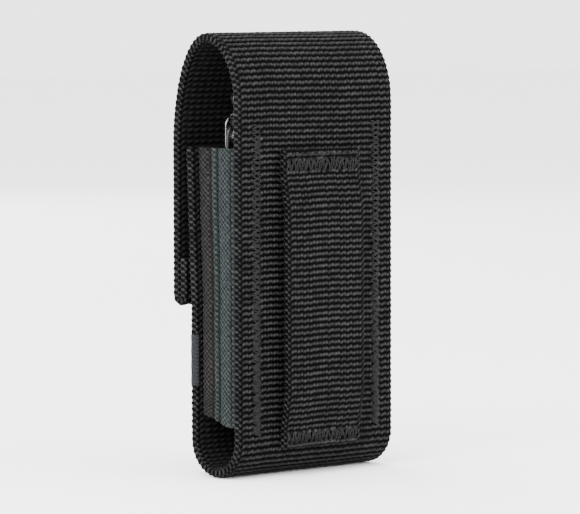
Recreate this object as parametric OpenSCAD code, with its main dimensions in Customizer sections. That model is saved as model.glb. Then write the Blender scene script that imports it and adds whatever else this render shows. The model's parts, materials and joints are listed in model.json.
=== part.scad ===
// Multi tool in its webbing belt sheath.
// Millimetres. +Z is up, the flap faces -Y and the belt loop faces +Y.
// The origin is under the middle of the whole object's box, at its lowest point.

/* [Webbing] */
// Width of the main webbing strip (two inch tape)
web_w = 50.8; // [44:0.1:58]
// Thickness of the main webbing
web_t = 2.6; // [2:0.1:3]
// Thickness of the belt loop's webbing
loop_t = 2; // [1.4:0.1:2.4]
// Width of the belt loop (one inch tape)
loop_w = 25.4; // [20:0.1:32]

/* [Pocket] */
// Overall height, bottom bend to top of the arch
total_h = 108; // [104:0.5:114]
// Depth of the pocket at its bottom, outside
pocket_d = 18.4; // [18:0.1:20]
// Depth of the pocket at its mouth, outside
mouth_d = 20; // [19:0.1:21]
// Height of the pocket's mouth
mouth_z = 80; // [76:0.5:82]
// Height where the front panel starts to lean out
lean_z = 42; // [38:0.5:46]
// Thickness of the elastic side gussets
gusset_t = 1.1; // [0.8:0.1:1.2]
// Height of the gussets' lower edge
gusset_z = 12.5; // [10:0.5:16]

/* [Belt loop] */
// Free gap between the back panel and the belt loop
loop_gap = 1.5; // [1:0.1:2.5]
// Lower end of the belt loop
loop_z0 = 7; // [6:0.5:9]
// Upper end of the belt loop
loop_z1 = 79.5; // [76:0.5:82]

/* [Flap] */
// Depth from the flap's face to the back panel's face
flap_d = 25; // [25:0.1:26]
// Height of the arch's rear quarter
rear_rise = 17; // [16:0.5:19]
// Height of the arch's front quarter
front_rise = 28; // [26:0.5:30]
// Height of the flap's lower end
flap_z0 = 41; // [40:0.5:43]
// Length of the flap's folded hem
hem_l = 12; // [10:0.5:13]

/* [Hook and loop] */
// Half width of both patches
patch_hw = 17; // [14:0.5:17]
// Thickness of the loop patch
pile_t = 0.7; // [0.7:0.1:1]
// Thickness of the hook patch
hook_t = 1.2; // [1:0.1:1.3]

/* [Tool] */
// Width of the closed tool across both handles
tool_w = 35; // [33:0.5:35]
// Thickness of the closed tool
tool_t = 12; // [11.6:0.1:12.2]
// Lower end of the closed tool
tool_z0 = 7.4; // [7.3:0.1:9]
// Upper end of the closed tool
tool_z1 = 88.4; // [86:0.1:89]
// Thickness of the handles' sheet steel
sheet_t = 1.2; // [1:0.1:1.3]
// Thickness of each folding implement
blade_t = 1.7; // [1.4:0.1:1.75]

/* [Hidden] */

webbing = [0.15, 0.15, 0.16];
thread = [0.1, 0.1, 0.1];
elastic = [0.28, 0.32, 0.32];
pile = [0.08, 0.08, 0.08];
steel = [0.75, 0.76, 0.78];
dark_steel = [0.55, 0.56, 0.58];

half_w = web_w / 2;
half_t = web_t / 2;
// places along Y
full_d = flap_d + loop_gap + loop_t;
front_y = -full_d / 2;
back_y = front_y + flap_d;
back_c = back_y - half_t;
back_in = back_y - web_t;
low_front_y = back_y - pocket_d;
low_front_c = low_front_y + half_t;
mouth_front_c = back_y - mouth_d + half_t;
bend_y = back_y - pocket_d / 2;
bend_r = pocket_d / 2;
flap_c = front_y + half_t;
arch_y = back_y - flap_d / 2;
hem_r = 1.7;
lean = atan((mouth_d - pocket_d) / (mouth_z - hem_r - lean_z));

// hinge lines of the flexible arch, in the middle of the webbing
rear_hinge_z = total_h - rear_rise;
top_hinge_z = total_h - half_t;
front_spring_z = total_h - front_rise;
hinge_gap = 0.15;
arch_a = flap_d / 2 - half_t;

// seams
seam_x = half_w - 5.9;
seam_w = 3.2;
thread_t = 0.4;
thread_w = 0.55;
stitch_pitch = 2.5;
bartack_h = 4;

// label on the front panel's edge
label_z0 = 22;
label_z1 = 34.6;
label_t = 0.4;
label_reach = 16;

// tool
tool_c = bend_y;
tool_hw = tool_w / 2;
parting = 0.3;
handle_w = tool_hw - parting;
inside_t = tool_t - 2 * sheet_t;
layer = inside_t / 5;
layer_gap = (layer - blade_t) / 2;
inside_y = tool_c - inside_t / 2;
pliers_x = parting + handle_w / 2;
pliers_z = tool_z0 + handle_w / 2;
jaw_z = pliers_z + 12;
jaw_tip_z = 66;
axle_x = 11.4;
axle_z = tool_z1 - 6;
blade_z1 = axle_z + 0.7;
corner_r = 4;
blade_x0 = 7.9;
spring_t = 1.2;
blade_x1 = tool_hw - sheet_t - spring_t - 0.2;
head_t = 0.3;
eye_x = 12.5;
eye_z = 92;
eye_r = 3.6;
eye_hole_r = 2.2;

// ---- shared shapes -------------------------------------------------------

// points of an ellipse's arc in the Y-Z plane
function arc(cy, cz, ry, rz, a0, a1, n) =
  [for (i = [0:n]) let (a = a0 + (a1 - a0) * i / n) [cy + ry * cos(a), cz + rz * sin(a)]];

// unit normal to a path at point i, on its right
function side(path, i) =
  let (
    a = path[max(i - 1, 0)],
    b = path[min(i + 1, len(path) - 1)],
    d = b - a
  ) [d[1], -d[0]] / norm(d);

function offset_path(path, by) = [for (i = [0:len(path) - 1]) path[i] + by * side(path, i)];

function reversed(list) = [for (i = [len(list) - 1:-1:0]) list[i]];

// a Y-Z outline swept across X, from x0 to x1
module across(x0, x1) {
  translate([x0, 0, 0]) rotate([90, 0, 90]) linear_extrude(height = x1 - x0) children();
}

// a strip of thickness t whose middle follows a Y-Z path
module ribbon(path, t) {
  polygon(concat(offset_path(path, t / 2), reversed(offset_path(path, -t / 2))));
}

// an X-Z outline given thickness along Y, from y0 to y1
module along_y(y0, y1) {
  translate([0, y1, 0]) rotate([90, 0, 0]) linear_extrude(height = y1 - y0) children();
}

// zigzag thread in the X-Z plane: from u0 to u1 along Z, swinging over width w about x
module zigzag(u0, u1, w) {
  n = round((u1 - u0) / (stitch_pitch / 2));
  step = (u1 - u0) / n;
  swing = w / 2 - thread_w / 2;
  left = [for (i = [0:n]) [(i % 2 == 0 ? -swing : swing) - thread_w / 2, u0 + i * step]];
  right = [for (i = [n:-1:0]) [(i % 2 == 0 ? -swing : swing) + thread_w / 2, u0 + i * step]];
  polygon(concat(left, right));
}

// ---- sheath --------------------------------------------------------------

body_path = concat(
  [[mouth_front_c, mouth_z - hem_r], [low_front_c, lean_z]],
  arc(bend_y, bend_r, bend_r - half_t, bend_r - half_t, 180, 360, 20),
  [[back_c, rear_hinge_z - half_t - hinge_gap]]
);

module body_webbing() {
  color(webbing) difference() {
    union() {
      across(-half_w, half_w) ribbon(body_path, web_t);
      // rolled hem at the mouth
      across(-half_w, half_w) translate([mouth_front_c, mouth_z - hem_r]) circle(r = hem_r, $fn = 32);
    }
    // the label squeezes the edge here
    translate([half_w - label_t, -full_d / 2, label_z0]) cube([2, full_d / 2, label_z1 - label_z0]);
  }
}

loop_path = [
  [back_y + loop_t / 2, loop_z0],
  [back_y + loop_t / 2, loop_z0 + 5],
  [back_y + loop_t / 2 + loop_gap, loop_z0 + 13],
  [back_y + loop_t / 2 + loop_gap, loop_z1 - 14],
  [back_y + loop_t / 2, loop_z1 - 6.5],
  [back_y + loop_t / 2, loop_z1]
];

module belt_loop() {
  color(webbing) across(-loop_w / 2, loop_w / 2) polygon([
    [back_y, loop_z0], [back_y + loop_t, loop_z0],
    [back_y + loop_t, loop_z0 + 5], [back_y + loop_t + loop_gap, loop_z0 + 13],
    [back_y + loop_t + loop_gap, loop_z1 - 14], [back_y + loop_t, loop_z1 - 6.5],
    [back_y + loop_t, loop_z1], [back_y, loop_z1],
    [back_y, loop_z1 - 6.5], [back_y + loop_gap, loop_z1 - 14],
    [back_y + loop_gap, loop_z0 + 13], [back_y, loop_z0 + 5]
  ]);
}

// Y-Z outline of the pocket's inside, between the gusset's two ends
module pocket_inside(inset) {
  polygon([
    [low_front_y + web_t + inset, gusset_z], [back_in - inset, gusset_z],
    [back_in - inset, mouth_z], [mouth_front_c + half_t + inset, mouth_z],
    [mouth_front_c + half_t + inset, mouth_z - hem_r],
    [low_front_y + web_t + inset, lean_z]
  ]);
}

// pleated elastic side, with a seam allowance down each panel
module gusset() {
  x_in = 17.9;
  x_out = half_w - 1;
  pleat = 2.6;
  wall = [[x_out, -20], [x_out, low_front_y + 5.4], [x_out - pleat, bend_y - 1.6],
          [x_out, bend_y + 3.2], [x_out, 20]];
  intersection() {
    across(x_in, x_out) pocket_inside(0);
    union() {
      difference() {
        across(x_in, x_out) pocket_inside(0);
        across(x_in - 1, x_out + 1) pocket_inside(gusset_t);
      }
      linear_extrude(height = total_h)
        polygon(concat(wall, [for (p = reversed(wall)) p - [gusset_t, 0]]));
    }
    // clear of the mouth's rolled hem
    difference() {
      translate([0, -full_d, gusset_z + 0.01]) cube([half_w, 2 * full_d, mouth_z - gusset_z - 0.02]);
      across(-1, half_w + 1) translate([mouth_front_c, mouth_z - hem_r]) circle(r = hem_r + 0.04, $fn = 32);
    }
  }
}

module gusset_right() { color(elastic) gusset(); }

module gusset_left() { color(elastic) mirror([1, 0, 0]) gusset(); }

module loop_patch() {
  top = mouth_z - 8;
  path = [[low_front_y - (top - lean_z) * tan(lean), top], [low_front_y, lean_z], [low_front_y, lean_z - 6]];
  color(pile) across(-patch_hw, patch_hw) intersection() {
    polygon(concat([for (p = path) p - [0.02, 0]], reversed([for (p = path) p - [pile_t, 0]])));
    translate([-full_d, lean_z - 6]) square([full_d, mouth_z - lean_z]);
  }
}

module front_label() {
  h = label_z1 - label_z0;
  color([0.12, 0.12, 0.13]) {
    translate([half_w - label_reach, low_front_y - label_t, label_z0]) cube([label_reach, label_t, h]);
    translate([half_w - label_t, low_front_y - 0.001, label_z0]) cube([label_t, web_t, h]);
  }
}

module seam_stitching() {
  along_y(back_y, back_y + thread_t)
    translate([seam_x, 0]) zigzag(bend_r + 1, rear_hinge_z - 5, seam_w);
}

module seam_stitching_right() { color(thread) seam_stitching(); }

module seam_stitching_left() { color(thread) mirror([1, 0, 0]) seam_stitching(); }

module front_seam_stitching() {
  color(thread) for (m = [0, 1]) mirror([m, 0, 0]) translate([seam_x, low_front_y, 0]) {
    along_y(-thread_t, 0) zigzag(bend_r + 1, label_z0 - 0.6, seam_w);
    along_y(-thread_t, 0) zigzag(label_z1 + 0.4, lean_z - 0.4, seam_w);
    translate([0, 0, lean_z]) rotate([lean, 0, 0])
      along_y(-thread_t - 0.01, -0.01) zigzag(0.4, mouth_z - lean_z - 8.5, seam_w);
  }
}

module belt_loop_bartacks() {
  rows = [loop_z0 + 0.6, loop_z1 - bartack_h - 0.8];
  color(thread) for (z = rows) along_y(back_y + loop_t, back_y + loop_t + thread_t)
    translate([0, z + bartack_h / 2]) rotate(-90) zigzag(1 - loop_w / 2, loop_w / 2 - 1, bartack_h);
}

module mouth_stitching() {
  color(thread) for (z = [2, 4.2])
    translate([0, mouth_front_c - half_t, mouth_z - 5.4]) rotate([lean, 0, 0])
      for (i = [-10:10]) translate([i * 2.3 - 0.75, -thread_t - 0.03, z - 4])
        cube([1.5, thread_t, thread_w]);
}

// ---- flap ----------------------------------------------------------------

module crown_webbing() {
  path = arc(arch_y, rear_hinge_z, arch_a, rear_rise - half_t, 0, 90, 16);
  color(webbing) {
    across(-half_w, half_w) {
      intersection() {
        ribbon(path, web_t);
        translate([arch_y + half_t + hinge_gap, rear_hinge_z]) square([full_d, total_h]);
      }
      translate([back_c, rear_hinge_z]) circle(r = half_t, $fn = 32);
    }
  }
}

module flap_webbing() {
  path = concat(
    arc(arch_y, front_spring_z, arch_a, front_rise - half_t, 90, 180, 18),
    [[flap_c, flap_z0 + web_t]]
  );
  hem_y = front_y + web_t;
  color(webbing) difference() {
    across(-half_w, half_w) {
      ribbon(path, web_t);
      translate([arch_y, top_hinge_z]) circle(r = half_t, $fn = 32);
      // folded hem: second layer, round at the fold
      translate([hem_y - 0.05, flap_z0 + web_t]) square([web_t + 0.05, hem_l - web_t]);
      intersection() {
        translate([hem_y, flap_z0 + web_t]) circle(r = web_t, $fn = 48);
        translate([front_y, flap_z0 - 1]) square([2 * web_t, web_t + 1]);
      }
    }
    // the threads pull down into the webbing
    hem_stitches(1);
    patch_stitches(1);
  }
}

module hook_patch() {
  y = front_y + web_t;
  z0 = flap_z0 + hem_l + 1.5;
  color(pile) translate([-patch_hw, y, z0]) cube([2 * patch_hw, hook_t, mouth_z - 2.5 - z0]);
}

// one stitch sunk in the flap's outer face; as a cutter it also reaches out of it
module sunk_stitch(x, z, w, h, reach) {
  translate([x, front_y - reach, z]) cube([w, thread_t + reach, h]);
}

module hem_stitches(reach) {
  for (z = [flap_z0 + hem_l - 3, flap_z0 + hem_l - 5.6])
    for (i = [-9:9]) sunk_stitch(i * 2.5 - 0.8, z, 1.6, thread_w, reach);
}

module patch_stitches(reach) {
  z0 = flap_z0 + hem_l + 3;
  z1 = mouth_z - 4;
  nz = 8;
  for (z = [z0, z1]) for (i = [-6:6]) sunk_stitch(i * 2.5 - 0.8, z, 1.6, thread_w, reach);
  for (x = [-patch_hw + 0.6, patch_hw - 1.1]) for (i = [1:nz - 1])
    sunk_stitch(x, z0 + (z1 - z0) * i / nz - 0.6, thread_w, 1.6, reach);
}

module flap_hem_stitching() { color(thread) hem_stitches(0); }

module hook_patch_stitching() { color(thread) patch_stitches(0); }

// ---- tool ----------------------------------------------------------------

// X-Z outline of one handle, right side
module handle_outline() {
  r = handle_w / 2;
  translate([parting, pliers_z]) square([handle_w, tool_z1 - corner_r - pliers_z]);
  translate([pliers_x, pliers_z]) circle(r = r, $fn = 64);
  translate([parting, pliers_z]) square([handle_w - corner_r, tool_z1 - pliers_z]);
  translate([tool_hw - corner_r, tool_z1 - corner_r]) circle(r = corner_r, $fn = 48);
}

module handle() {
  edge_r = 1.8;
  difference() {
    intersection() {
      along_y(tool_c - tool_t / 2, tool_c + tool_t / 2) handle_outline();
      // bent corners of the sheet, seen along Z
      linear_extrude(height = total_h) {
        translate([0, tool_c - tool_t / 2]) square([tool_hw - edge_r, tool_t]);
        translate([0, tool_c - tool_t / 2 + edge_r]) square([tool_hw, tool_t - 2 * edge_r]);
        for (s = [-1, 1]) translate([tool_hw - edge_r, tool_c + s * (tool_t / 2 - edge_r)])
          circle(r = edge_r, $fn = 32);
      }
    }
    translate([-1, inside_y, 0]) cube([1 + tool_hw - sheet_t, inside_t, total_h]);
    // the ends are open for the implements and the jaws
    translate([-1, inside_y, pliers_z - 20]) cube([tool_w, inside_t, 24]);
    translate([-1, inside_y, axle_z - 3]) cube([tool_w, inside_t, 24]);
    along_y(tool_c - tool_t, tool_c + tool_t) {
      translate([pliers_x, pliers_z]) circle(r = 2.5, $fn = 32);
      translate([axle_x, axle_z]) circle(r = 1.8, $fn = 32);
    }
  }
}

module handle_right() { color(steel) handle(); }

module handle_left() { color(steel) mirror([1, 0, 0]) handle(); }

// a pin along Y with a low round head at each end
module pin(x, z, r, head_r, half_l) {
  along_y(tool_c - half_l, tool_c + half_l) translate([x, z]) circle(r = r, $fn = 32);
  for (s = [-1, 1]) translate([x, tool_c + s * (half_l + head_t / 2), z]) rotate([90, 0, 0])
    cylinder(r = head_r, h = head_t, center = true, $fn = 32);
}

module handle_pivot_pins() {
  color(dark_steel) for (s = [-1, 1]) pin(s * pliers_x, pliers_z, 2.5, 3.6, tool_t / 2);
}

// one plier half: eye in the handle, lapped joint disc, tapering nose
module jaw(lap) {
  jaw_w = 7.4;
  tang_r = 5.6;
  clear = 0.12;
  half_jaw_t = 4.3;
  y0 = tool_c + (lap < 0 ? -half_jaw_t : clear);
  y1 = tool_c + (lap < 0 ? -clear : half_jaw_t);
  difference() {
    union() {
      // tang and joint disc share one half of the thickness
      along_y(y0, y1) {
        translate([pliers_x, pliers_z]) circle(r = tang_r, $fn = 32);
        translate([0, jaw_z]) circle(r = jaw_w, $fn = 32);
        polygon([[0.1, jaw_z - 6], [pliers_x - 2, pliers_z - 4], [pliers_x + 4, pliers_z + 3],
                 [jaw_w, jaw_z + 1], [0.1, jaw_z + 5]]);
      }
      // nose, full thickness at its root, slimmer at its tip
      intersection() {
        along_y(tool_c - 4, tool_c + 4)
          polygon([[clear, jaw_z + 7.8], [7.2, jaw_z + 7.8], [6.6, jaw_z + 14],
                   [2.6, jaw_tip_z], [clear, jaw_tip_z]]);
        across(0, 10)
          polygon([[tool_c - 4, jaw_z], [tool_c + 4, jaw_z], [tool_c + 4, jaw_z + 16],
                   [tool_c + 2, jaw_tip_z], [tool_c - 2, jaw_tip_z], [tool_c - 4, jaw_z + 16]]);
      }
      along_y(y0, y1) polygon([[clear, jaw_z + 4], [6.2, jaw_z + 4], [7.2, jaw_z + 8],
                               [clear, jaw_z + 8]]);
    }
    along_y(tool_c - 10, tool_c + 10) {
      translate([pliers_x, pliers_z]) circle(r = 2.55, $fn = 32);
      translate([0, jaw_z]) circle(r = 2.6, $fn = 32);
    }
    // gripping teeth
    for (i = [0:8]) translate([clear - 0.5, tool_c - 5, jaw_z + 16 + i * 2.2]) cube([0.9, 10, 0.9]);
  }
}

module jaw_right() { color(dark_steel) jaw(-1); }

module jaw_left() { color(dark_steel) mirror([1, 0, 0]) jaw(1); }

module jaw_pivot() {
  color(dark_steel) {
    along_y(tool_c - 4.3, tool_c + 4.3) translate([0, jaw_z]) circle(r = 2.55, $fn = 32);
    for (s = [-1, 1]) translate([0, tool_c + s * 4.5, jaw_z]) rotate([90, 0, 0])
      cylinder(r = 3.4, h = 0.4, center = true, $fn = 32);
  }
}

module implement_axle_right() { color(dark_steel) pin(axle_x, axle_z, 1.75, 2.9, tool_t / 2); }

module implement_axle_left() { color(dark_steel) pin(-axle_x, axle_z, 1.75, 2.9, tool_t / 2); }

module washers() {
  for (i = [1:4]) along_y(inside_y + i * layer - layer_gap + 0.02, inside_y + i * layer + layer_gap - 0.02)
    translate([axle_x, axle_z]) difference() {
      circle(r = 3, $fn = 32);
      circle(r = 1.8, $fn = 32);
    }
}

module washers_right() { color("goldenrod") washers(); }

module washers_left() { color("goldenrod") mirror([1, 0, 0]) washers(); }

// leaf spring along the handle's web, slit into fingers at its free end
module spring() {
  z0 = 40;
  z1 = axle_z - 4;
  color(dark_steel) difference() {
    translate([tool_hw - sheet_t - spring_t, inside_y + 0.1, z0])
      cube([spring_t, inside_t - 0.2, z1 - z0]);
    for (i = [1:4]) translate([tool_hw - sheet_t - spring_t - 1, inside_y + i * layer - 0.3, z0 + 8])
      cube([spring_t + 2, 0.6, z1 - z0]);
  }
}

module spring_right() { spring(); }

module spring_left() { mirror([1, 0, 0]) spring(); }

// an implement in layer i: round boss on the axle, then its own outline downwards
module implement(i) {
  y0 = inside_y + i * layer + layer_gap;
  difference() {
    union() {
      along_y(y0, y0 + blade_t) translate([axle_x, axle_z]) circle(r = 3.4, $fn = 32);
      along_y(y0, y0 + blade_t) children();
    }
    along_y(y0 - 1, y0 + blade_t + 1) translate([axle_x, axle_z]) circle(r = 1.8, $fn = 32);
  }
}

module knife_blade() {
  color(steel) difference() {
    implement(4) polygon([[blade_x1, blade_z1], [blade_x1, 34], [12.5, 27], [9.6, 25.5],
                          [blade_x0, 31], [blade_x0, 74], [9.4, 76], [9.4, blade_z1]]);
    // nail nick
    translate([blade_x1 - 2.4, inside_y + 5 * layer - 0.6, 60]) cube([1, 1, 9]);
  }
}

module file() {
  color(steel) difference() {
    implement(3) polygon([[blade_x1, blade_z1], [blade_x1, 30], [13.4, 28.6], [9.3, 28.6],
                          [blade_x0, 30], [blade_x0, 76], [9, blade_z1]]);
    for (k = [0:9]) translate([blade_x0 - 1, inside_y + 4 * layer - layer_gap - 0.2, 33 + k * 3.6])
      cube([9, 1, 0.8]);
  }
}

module large_screwdriver() {
  color(steel) implement(2) polygon([[blade_x1, blade_z1], [blade_x1, 50], [13.9, 42], [13.9, 36],
                                     [8.9, 36], [8.9, 42], [blade_x0, 50], [blade_x0, 76], [9, blade_z1]]);
}

module can_opener() {
  color(steel) difference() {
    implement(1) polygon([[blade_x1, blade_z1], [blade_x1, 52], [12.6, 46], [11.2, 46.6], [11.6, 51],
                          [10.4, 55], [blade_x0, 56], [blade_x0, 76], [9, blade_z1]]);
    along_y(inside_y, inside_y + inside_t) translate([blade_x0, 63]) circle(r = 2.1, $fn = 32);
  }
}

module saw_blade() {
  teeth = [for (k = [0:15]) each [[blade_x0, 31 + k * 2.6], [blade_x0 + 1.1, 32.2 + k * 2.6]]];
  color(steel) mirror([1, 0, 0])
    implement(4) polygon(concat([[9, blade_z1], [blade_x1, blade_z1], [blade_x1, 30], [10.5, 26.5]],
                                teeth, [[blade_x0, 76]]));
}

module small_screwdriver() {
  color(steel) mirror([1, 0, 0])
    implement(0) polygon([[blade_x1, blade_z1], [blade_x1, 52], [12.6, 46], [12.6, 40], [10.2, 40],
                          [10.2, 46], [blade_x0, 52], [blade_x0, 76], [9, blade_z1]]);
}

module cross_driver() {
  y0 = inside_y + 2 * layer + layer_gap;
  z1 = 62;
  color(steel) mirror([1, 0, 0]) {
    implement(2) polygon([[blade_x1, blade_z1], [blade_x1, z1], [blade_x0, z1], [blade_x0, 76], [9, blade_z1]]);
    translate([11.4, y0 + blade_t / 2, z1 - 16]) cylinder(r = blade_t / 2, h = 16.5, $fn = 32);
  }
}

module awl() {
  color(steel) mirror([1, 0, 0])
    implement(1) polygon([[blade_x1, blade_z1], [blade_x1, 58], [13.2, 44], [12.2, 40], [10.2, 46],
                          [blade_x0, 58], [blade_x0, 76], [9, blade_z1]]);
}

module lanyard_eye() {
  y0 = inside_y + layer_gap;
  color(steel) difference() {
    along_y(y0, y0 + blade_t) {
      translate([axle_x, axle_z]) circle(r = 3.4, $fn = 32);
      translate([eye_x, eye_z]) circle(r = eye_r, $fn = 32);
      polygon([[axle_x - 2.4, axle_z], [axle_x + 2.4, axle_z], [eye_x + 2.4, eye_z], [eye_x - 2.4, eye_z]]);
    }
    along_y(y0 - 1, y0 + blade_t + 1) {
      translate([axle_x, axle_z]) circle(r = 1.8, $fn = 32);
      translate([eye_x, eye_z]) circle(r = eye_hole_r, $fn = 32);
    }
  }
}

body_webbing();
belt_loop();
gusset_right();
gusset_left();
loop_patch();
front_label();
seam_stitching_right();
seam_stitching_left();
front_seam_stitching();
belt_loop_bartacks();
mouth_stitching();
crown_webbing();
flap_webbing();
hook_patch();
flap_hem_stitching();
hook_patch_stitching();
handle_right();
handle_left();
handle_pivot_pins();
jaw_right();
jaw_left();
jaw_pivot();
implement_axle_right();
implement_axle_left();
washers_right();
washers_left();
spring_right();
spring_left();
knife_blade();
file();
large_screwdriver();
can_opener();
saw_blade();
small_screwdriver();
cross_driver();
awl();
lanyard_eye();
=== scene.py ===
"""Multi tool in its webbing belt sheath: looks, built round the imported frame."""
import json
import math

import bpy
import numpy as np
from mathutils import Matrix, Vector


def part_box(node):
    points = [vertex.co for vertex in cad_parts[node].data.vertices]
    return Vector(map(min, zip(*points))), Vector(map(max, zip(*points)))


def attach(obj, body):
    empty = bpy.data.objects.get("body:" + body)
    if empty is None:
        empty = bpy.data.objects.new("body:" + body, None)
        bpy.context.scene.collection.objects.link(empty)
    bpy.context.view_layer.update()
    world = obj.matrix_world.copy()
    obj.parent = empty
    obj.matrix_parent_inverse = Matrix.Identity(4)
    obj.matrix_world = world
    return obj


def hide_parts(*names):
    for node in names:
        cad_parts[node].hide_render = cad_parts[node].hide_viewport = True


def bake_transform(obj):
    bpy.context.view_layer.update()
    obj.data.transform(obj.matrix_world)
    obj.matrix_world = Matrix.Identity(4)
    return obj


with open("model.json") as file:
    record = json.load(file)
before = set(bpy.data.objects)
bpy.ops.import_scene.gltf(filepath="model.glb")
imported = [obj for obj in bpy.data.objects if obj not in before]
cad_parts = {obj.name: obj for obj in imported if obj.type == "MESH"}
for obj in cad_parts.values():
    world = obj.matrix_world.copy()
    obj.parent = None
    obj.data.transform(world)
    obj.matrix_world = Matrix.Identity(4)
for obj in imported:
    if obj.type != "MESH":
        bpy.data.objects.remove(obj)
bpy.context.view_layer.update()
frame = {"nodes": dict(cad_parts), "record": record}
MM = 0.001

# ---- sizes, in millimetres, from the frame --------------------------------


def node_box(node):
    """(lowest, highest) corner of a CAD node in millimetres."""
    low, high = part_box(node)
    return np.array(low) / MM, np.array(high) / MM


BODY_HIGH = node_box("body_webbing")[1]
FLAP_LOW, FLAP_HIGH = node_box("flap_webbing")
LOOP_LOW, LOOP_HIGH = node_box("belt_loop")
GUSSET_LOW, GUSSET_HIGH = node_box("gusset_right")
LABEL_LOW, LABEL_HIGH = node_box("front_label")
PILE_LOW, PILE_HIGH = node_box("loop_patch")
HOOK_LOW, HOOK_HIGH = node_box("hook_patch")
HEM_STITCH_LOW, HEM_STITCH_HIGH = node_box("flap_hem_stitching")
HOOK_STITCH_LOW, HOOK_STITCH_HIGH = node_box("hook_patch_stitching")
SEAM_LOW, SEAM_HIGH = node_box("seam_stitching_right")

# the strip's middle line in the Y-Z plane: thicknesses, panel faces, bends and heights
WEB_T = 2.6
LOOP_T = 2.0
POCKET_LOW_D = 18.4
POCKET_MOUTH_D = 20.0
HALF_W = BODY_HIGH[0]
HALF_T = WEB_T / 2
BACK_Y = BODY_HIGH[1]
BACK_C = BACK_Y - HALF_T
BEND_R = POCKET_LOW_D / 2
BEND_Y = BACK_Y - BEND_R
LOW_FRONT_C = BACK_Y - POCKET_LOW_D + HALF_T
MOUTH_FRONT_C = BACK_Y - POCKET_MOUTH_D + HALF_T
MOUTH_Z = GUSSET_HIGH[2]
LEAN_Z = 42.0
REAR_HINGE_Z = 91.0
TOP_Z = FLAP_HIGH[2]
FLAP_FRONT_Y = FLAP_LOW[1]
FLAP_C = FLAP_FRONT_Y + HALF_T
FLAP_END_Z = FLAP_LOW[2]
ARCH_Y = (BACK_C + FLAP_C) / 2
ARCH_A = (BACK_C - FLAP_C) / 2
FRONT_SPRING_Z = 80.0
HEM_L = 12.0

# weave: spacing of ribs and warp yarns, selvedge width, and mesh rows for each rib
RIB = 1.45
WARP = 1.0
EDGE = 1.5
RIB_STEPS = 4
SEAM_X = (SEAM_LOW[0] + SEAM_HIGH[0]) / 2
SEAM_HALF = (SEAM_HIGH[0] - SEAM_LOW[0]) / 2
THREAD_R = 0.2

# ---- mesh helpers ----------------------------------------------------------


def mesh_object(name, points, faces, smooth=True):
    """A mesh object from points in millimetres."""
    mesh = bpy.data.meshes.new(name)
    mesh.from_pydata((np.asarray(points, float) * MM).tolist(), [], faces)
    mesh.validate()
    mesh.update()
    if smooth:
        mesh.shade_smooth()
    obj = bpy.data.objects.new(name, mesh)
    bpy.context.scene.collection.objects.link(obj)
    return obj


def ring_faces(rows, cols, closed=True, caps=True):
    """Quads over a grid of rows x cols points; each row is a closed ring."""
    faces = []
    span = cols if closed else cols - 1
    for i in range(rows - 1):
        a = i * cols
        b = a + cols
        for j in range(span):
            k = (j + 1) % cols
            faces.append((a + j, a + k, b + k, b + j))
    if caps:
        faces.append(tuple(range(cols - 1, -1, -1)))
        last = (rows - 1) * cols
        faces.append(tuple(last + j for j in range(cols)))
    return faces


def set_attribute(obj, name, values):
    """Stores one number per vertex for the material to read."""
    layer = obj.data.attributes.new(name, "FLOAT", "POINT")
    layer.data.foreach_set("value", np.asarray(values, np.float32))


def tubes(name, lines, radius, sides=6):
    """Round threads along several polylines, joined in one mesh; points in millimetres."""
    points = []
    faces = []
    for line in lines:
        line = np.asarray(line, float)
        ahead = np.gradient(line, axis=0)
        ahead /= np.linalg.norm(ahead, axis=1)[:, None] + 1e-12
        across = np.cross(ahead, [0.31, 0.17, 0.93])
        across /= np.linalg.norm(across, axis=1)[:, None] + 1e-12
        up = np.cross(ahead, across)
        base = len(points)
        for i, centre in enumerate(line):
            shrink = 0.55 if i in (0, len(line) - 1) else 1.0
            for k in range(sides):
                a = 2 * math.pi * k / sides
                points.append(centre + radius * shrink * (across[i] * math.cos(a) + up[i] * math.sin(a)))
        for face in ring_faces(len(line), sides):
            faces.append(tuple(base + v for v in face))
    return mesh_object(name, points, faces)


def smoothstep(x):
    """Smooth rise from 0 to 1 as x goes from 0 to 1."""
    x = np.clip(x, 0, 1)
    return x * x * (3 - 2 * x)


# ---- strips of ribbed webbing ----------------------------------------------


def arc(cy, cz, ry, rz, a0, a1, n=60):
    """Points of an ellipse's arc in the Y-Z plane, from angle a0 to a1 in degrees."""
    a = np.radians(np.linspace(a0, a1, n))
    return np.stack([cy + ry * np.cos(a), cz + rz * np.sin(a)], 1)


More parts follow.
